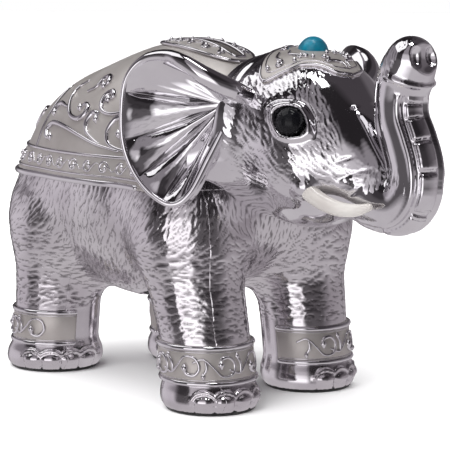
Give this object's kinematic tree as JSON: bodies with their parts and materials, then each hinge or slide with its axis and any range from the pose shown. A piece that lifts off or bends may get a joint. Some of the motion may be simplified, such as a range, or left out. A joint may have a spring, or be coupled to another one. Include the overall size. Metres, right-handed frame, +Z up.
{
  "type": "coin bank",
  "caption": "Standing elephant coin bank with a raised trunk: a hollow cast body with a coin slot in the back and a pull-out stopper in the belly.",
  "frame": {"origin": "on the floor under the middle of the whole elephant", "axes": "the elephant faces -Y with its right side towards -X, and +Z is up"},
  "size_m": [0.0956, 0.1851, 0.1173],
  "materials": {
    "silver": "polished silver plate with engraved hair",
    "satin_silver": "satin champagne plate with polished scrolls",
    "ivory": "pearl ivory lacquer",
    "eye_black": "glossy black bead",
    "turquoise": "polished turquoise with dark veins",
    "felt": "matt black felt",
    "rubber": "matt moulded rubber"
  },
  "bodies": {
    "bank": {"body_side_right": "silver", "body_side_left": "silver", "underbody": "silver", "head_shell": "silver", "ear_right": "silver", "ear_left": "silver", "tusk_right": "ivory", "tusk_left": "ivory", "eye_right": "eye_black", "eye_left": "eye_black", "crown_plate": "satin_silver", "crown_stone": "turquoise", "saddle_cloth": "satin_silver", "slot_surround": "silver", "anklet_front_right": "satin_silver", "anklet_front_left": "satin_silver", "anklet_rear_right": "satin_silver", "anklet_rear_left": "satin_silver", "foot_pad_front_right": "felt", "foot_pad_front_left": "felt", "foot_pad_rear_right": "felt", "foot_pad_rear_left": "felt", "tail": "silver"},
    "stopper": {"stopper": "rubber"}
  },
  "joints": [
    {"name": "stopper_pull", "type": "slide", "parent": "bank", "child": "stopper", "axis": [0, 0, -1], "range_m": [0, 0.018]}
  ]
}
